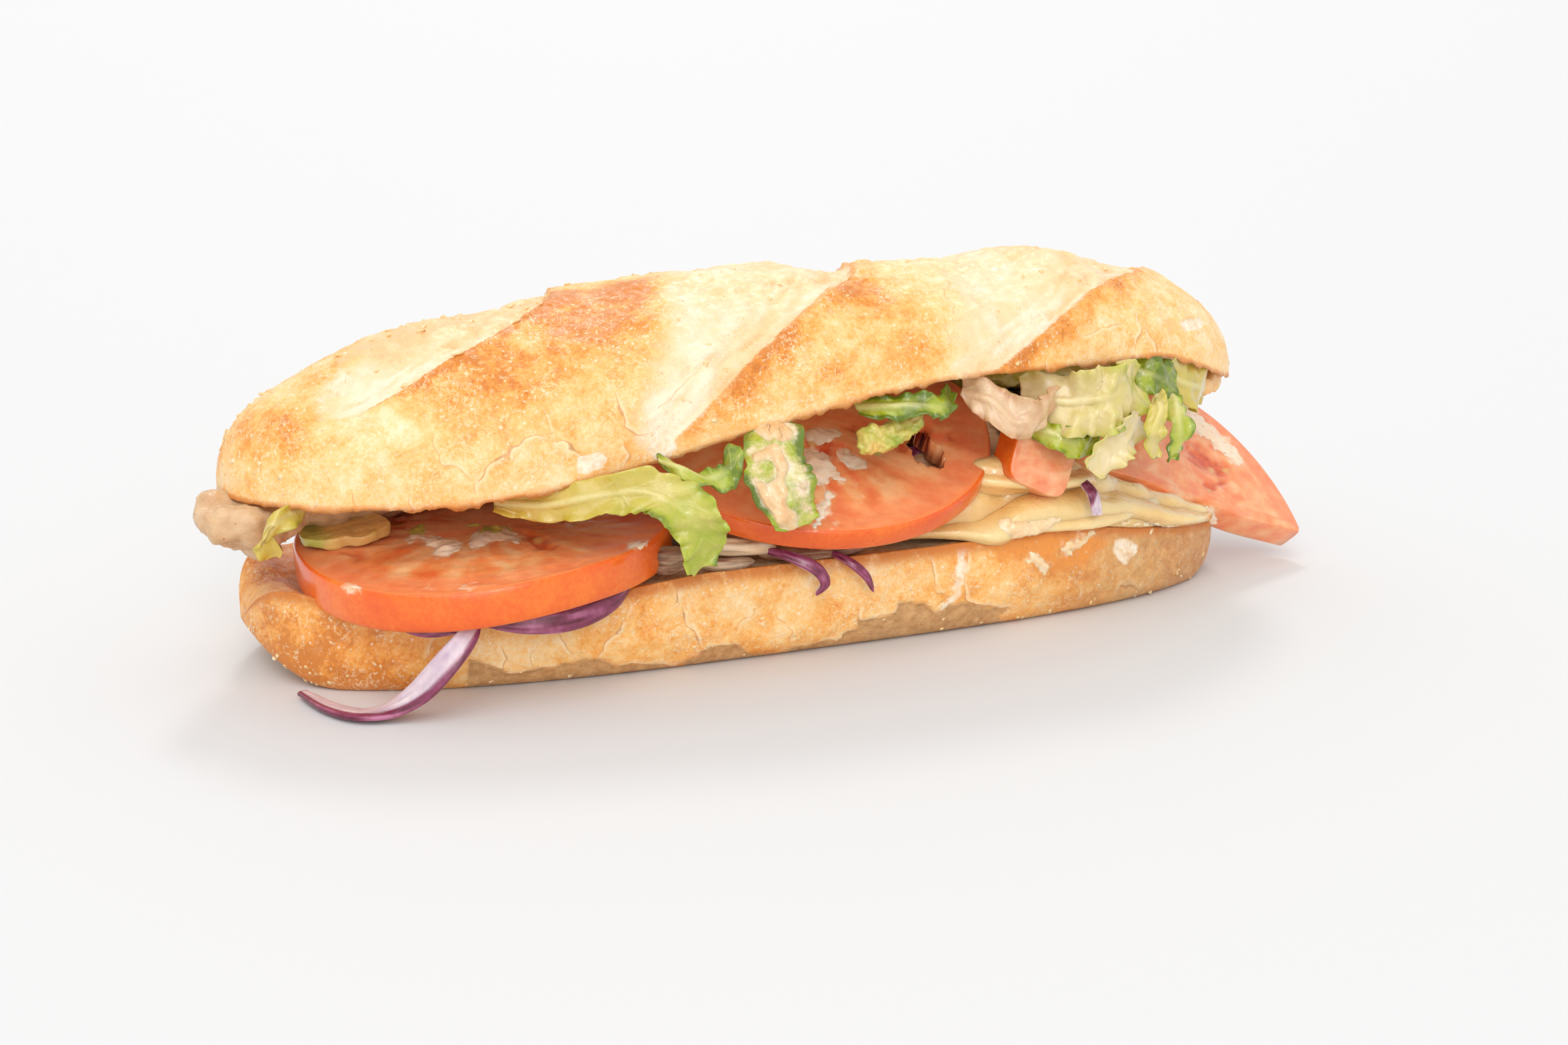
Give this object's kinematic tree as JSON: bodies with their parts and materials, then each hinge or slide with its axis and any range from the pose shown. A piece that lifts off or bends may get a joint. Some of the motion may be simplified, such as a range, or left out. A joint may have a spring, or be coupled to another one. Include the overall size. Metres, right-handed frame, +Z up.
{
  "type": "charbroiled chicken sandwich",
  "caption": "Filled sub roll with a slashed golden crust, grilled chicken, melted cheese, tomato slices, lettuce, onion strips, avocado and a creamy dressing.",
  "frame": {"origin": "on the flat underside of the lower bread half, at the middle of its length and width", "axes": "+X along the roll towards the leaning tomato slice, +Y from the open front edge to the back, +Z up"},
  "size_m": [0.2327, 0.0903, 0.0705],
  "materials": {
    "crust": "matt baked crust, flour dusted",
    "tomato": "wet",
    "chicken": "moist, charred in bands",
    "cheese": "melted, glossy",
    "lettuce": "fresh, slightly glossy",
    "lettuce_pale": "fresh, slightly glossy",
    "onion": "fresh, slightly glossy",
    "avocado": "soft, smooth"
  },
  "bodies": {
    "root": {"bun_bottom": "crust", "bun_top": "crust", "tomato_front": "tomato", "tomato_drooping": "tomato", "tomato_leaning": "tomato", "tomato_wedge": "tomato", "chicken_left": "chicken", "chicken_middle": "chicken", "chicken_right": "chicken", "cheese_lower": "cheese", "cheese_upper": "cheese", "avocado_slice": "avocado", "avocado_mash": "avocado", "onion_long": "onion", "onion_slice": "onion", "onion_sliver": "onion", "onion_curled": "onion", "onion_thin": "onion", "onion_short": "onion", "onion_inner": "onion", "onion_back": "onion", "lettuce_left_end": "lettuce", "lettuce_hanging": "lettuce", "lettuce_curled": "lettuce", "lettuce_dressed": "lettuce", "lettuce_dark": "lettuce", "lettuce_translucent": "lettuce_pale", "lettuce_pale": "lettuce_pale", "lettuce_wedge": "lettuce", "lettuce_rib": "lettuce_pale", "lettuce_yellow": "lettuce", "lettuce_green_edge": "lettuce", "lettuce_tucked": "lettuce", "lettuce_right_end": "lettuce", "lettuce_back_left": "lettuce", "lettuce_back_folded": "lettuce", "lettuce_back_middle": "lettuce", "lettuce_back_long": "lettuce", "lettuce_back_right": "lettuce", "lettuce_back_fringe": "lettuce", "lettuce_bed": "lettuce"}
  },
  "joints": []
}
